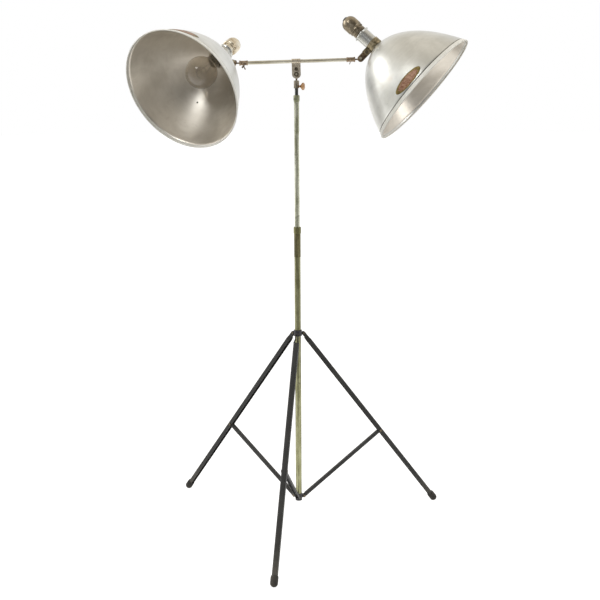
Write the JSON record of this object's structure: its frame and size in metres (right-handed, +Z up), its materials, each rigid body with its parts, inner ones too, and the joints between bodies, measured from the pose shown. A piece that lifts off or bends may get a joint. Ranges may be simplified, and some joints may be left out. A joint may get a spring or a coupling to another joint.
{
  "type": "tripod floor lamp",
  "caption": "Studio floor lamp: two spun reflectors on a tilting crossbar, over a telescopic column and a folding tripod with braces.",
  "frame": {"origin": "on the floor, on the column's axis", "axes": "+Z up the column, +X along the crossbar to the right head, -Y to the front"},
  "size_m": [0.8247, 0.6593, 1.2972],
  "materials": {
    "column_tube": "weathered anodised, satin",
    "middle_tube": "satin",
    "dark_rod": "dull",
    "crossbar_tube": "polished, worn",
    "collar": "worn satin",
    "leg_paint": "worn charcoal enamel",
    "hardware": "worn plating",
    "foot_rubber": "matt",
    "brass": "worn",
    "copper_screw": "polished, worn",
    "arm_brown": "dark brown, worn",
    "bronze": "dull",
    "reflector": "spun, satin",
    "socket_brass": "worn, nickel plate through to brass",
    "porcelain": "glazed",
    "bulb_glass": "clear, slightly grey"
  },
  "bodies": {
    "column": {"outer_tube": "column_tube", "tube_collar": "collar", "grip_sleeve": "collar", "spider": "hardware", "brace_pins": "hardware"},
    "hub": {"leg_hub": "hardware", "hub_pins": "hardware"},
    "brace_a_link": {"brace_a": "leg_paint"},
    "leg_a_set": {"leg_a": "leg_paint", "leg_rivets_a": "hardware", "foot_a": "foot_rubber"},
    "brace_b_link": {"brace_b": "leg_paint"},
    "leg_b_set": {"leg_b": "leg_paint", "leg_rivets_b": "hardware", "foot_b": "foot_rubber"},
    "brace_c_link": {"brace_c": "leg_paint"},
    "leg_c_set": {"leg_c": "leg_paint", "leg_rivets_c": "hardware", "foot_c": "foot_rubber"},
    "middle": {"middle_tube": "middle_tube", "middle_collar": "collar", "middle_bush": "brass"},
    "rod": {"inner_rod": "dark_rod", "rod_bush": "brass"},
    "column_head": {"top_sleeve": "hardware", "tilt_tongue": "hardware"},
    "thumb": {"thumb_screw": "copper_screw"},
    "clamp": {"bar_clamp": "crossbar_tube", "clamp_screw": "arm_brown", "clamp_nut": "hardware", "tilt_bolt": "hardware", "tilt_nut": "hardware"},
    "bar": {"crossbar": "crossbar_tube"},
    "ferrule_left_set": {"ferrule_left": "brass", "eye_stud_left": "arm_brown"},
    "wing_left": {"wing_screw_left": "arm_brown"},
    "head_left": {"arm_left": "arm_brown", "neck_ring_left": "bronze", "ring_screw_left": "bronze", "pivot_screw_left": "hardware", "shade_left": "reflector", "socket_shell_left": "socket_brass", "socket_cap_left": "socket_brass", "socket_core_left": "porcelain", "bulb_base_left": "brass", "bulb_glass_left": "bulb_glass"},
    "ferrule_right_set": {"ferrule_right": "brass", "eye_stud_right": "arm_brown"},
    "wing_right": {"wing_screw_right": "arm_brown"},
    "head_right": {"arm_right": "arm_brown", "neck_ring_right": "bronze", "ring_screw_right": "bronze", "pivot_screw_right": "hardware", "shade_right": "reflector", "socket_shell_right": "socket_brass", "socket_cap_right": "socket_brass", "socket_core_right": "porcelain", "bulb_base_right": "brass", "bulb_glass_right": "bulb_glass"}
  },
  "joints": [
    {"name": "hub_slide", "type": "slide", "parent": "column", "child": "hub", "axis": [0, 0, 1], "range_m": [0, 0.18706]},
    {"name": "brace_fold_a", "type": "hinge", "parent": "column", "child": "brace_a_link", "pos_m": [-0.01056, 0.0084, 0.06951], "axis": [-0.6225, -0.7826, 0], "range_deg": [-53.12, 0.05]},
    {"name": "leg_fold_a", "type": "hinge", "parent": "brace_a_link", "child": "leg_a_set", "pos_m": [-0.18193, 0.14471, 0.2223], "axis": [-0.6225, -0.7826, 0], "range_deg": [-0.05, 89.02]},
    {"name": "brace_fold_b", "type": "hinge", "parent": "column", "child": "brace_b_link", "pos_m": [0.01256, 0.00495, 0.06951], "axis": [-0.3665, 0.9304, 0], "range_deg": [-53.12, 0.05]},
    {"name": "leg_fold_b", "type": "hinge", "parent": "brace_b_link", "child": "leg_b_set", "pos_m": [0.21629, 0.0852, 0.2223], "axis": [-0.3665, 0.9304, 0], "range_deg": [-0.05, 89.02]},
    {"name": "brace_fold_c", "type": "hinge", "parent": "column", "child": "brace_c_link", "pos_m": [-0.00199, -0.01335, 0.06951], "axis": [0.989, -0.1478, 0], "range_deg": [-53.12, 0.05]},
    {"name": "leg_fold_c", "type": "hinge", "parent": "brace_c_link", "child": "leg_c_set", "pos_m": [-0.03436, -0.22991, 0.2223], "axis": [0.989, -0.1478, 0], "range_deg": [-0.05, 89.02]},
    {"name": "middle_slide", "type": "slide", "parent": "column", "child": "middle", "axis": [0, 0, 1], "range_m": [-0.3087, 0.3003]},
    {"name": "rod_slide", "type": "slide", "parent": "middle", "child": "rod", "axis": [0, 0, 1], "range_m": [-0.0165, 0.542]},
    {"name": "head_swivel", "type": "hinge", "parent": "rod", "child": "column_head", "pos_m": [0, 0, 1.13447], "axis": [0, 0, 1], "continuous": true},
    {"name": "thumb_turn", "type": "hinge", "parent": "column_head", "child": "thumb", "pos_m": [0, 0, 1.12997], "axis": [0.9397, -0.342, 0], "continuous": true},
    {"name": "bar_tilt_joint", "type": "hinge", "parent": "column_head", "child": "clamp", "pos_m": [0, 0, 1.15926], "axis": [0, 1, 0], "range_deg": [-40, 40]},
    {"name": "bar_slide", "type": "slide", "parent": "clamp", "child": "bar", "axis": [0.9997, 0, 0.0262], "range_m": [-0.1108, 0.1052]},
    {"name": "ferrule_turn_left", "type": "hinge", "parent": "bar", "child": "ferrule_left_set", "pos_m": [-0.12846, 0, 1.18661], "axis": [-0.9997, 0, -0.0262], "continuous": true},
    {"name": "wing_turn_left", "type": "hinge", "parent": "ferrule_left_set", "child": "wing_left", "pos_m": [-0.12846, 0, 1.18661], "axis": [0.0242, -0.3827, -0.9236], "continuous": true},
    {"name": "head_tilt_left", "type": "hinge", "parent": "ferrule_left_set", "child": "head_left", "pos_m": [-0.15235, 0, 1.18599], "axis": [-0.0232, -0.4617, 0.8867], "range_deg": [-67.6, 32.4]},
    {"name": "ferrule_turn_right", "type": "hinge", "parent": "bar", "child": "ferrule_right_set", "pos_m": [0.13245, 0, 1.19344], "axis": [0.9997, 0, 0.0262], "continuous": true},
    {"name": "wing_turn_right", "type": "hinge", "parent": "ferrule_right_set", "child": "wing_right", "pos_m": [0.13245, 0, 1.19344], "axis": [0.009, 0.9385, -0.3452], "continuous": true},
    {"name": "head_tilt_right", "type": "hinge", "parent": "ferrule_right_set", "child": "head_right", "pos_m": [0.15634, 0, 1.19407], "axis": [0.009, 0.9385, -0.3452], "range_deg": [-49.8, 53.2]}
  ],
  "couplings": [
    {"joint": "brace_fold_a", "follows": "hub_slide", "rad_per_m": -4.9516},
    {"joint": "leg_fold_a", "follows": "hub_slide", "rad_per_m": 8.3012},
    {"joint": "brace_fold_b", "follows": "hub_slide", "rad_per_m": -4.9516},
    {"joint": "leg_fold_b", "follows": "hub_slide", "rad_per_m": 8.3012},
    {"joint": "brace_fold_c", "follows": "hub_slide", "rad_per_m": -4.9516},
    {"joint": "leg_fold_c", "follows": "hub_slide", "rad_per_m": 8.3012}
  ]
}
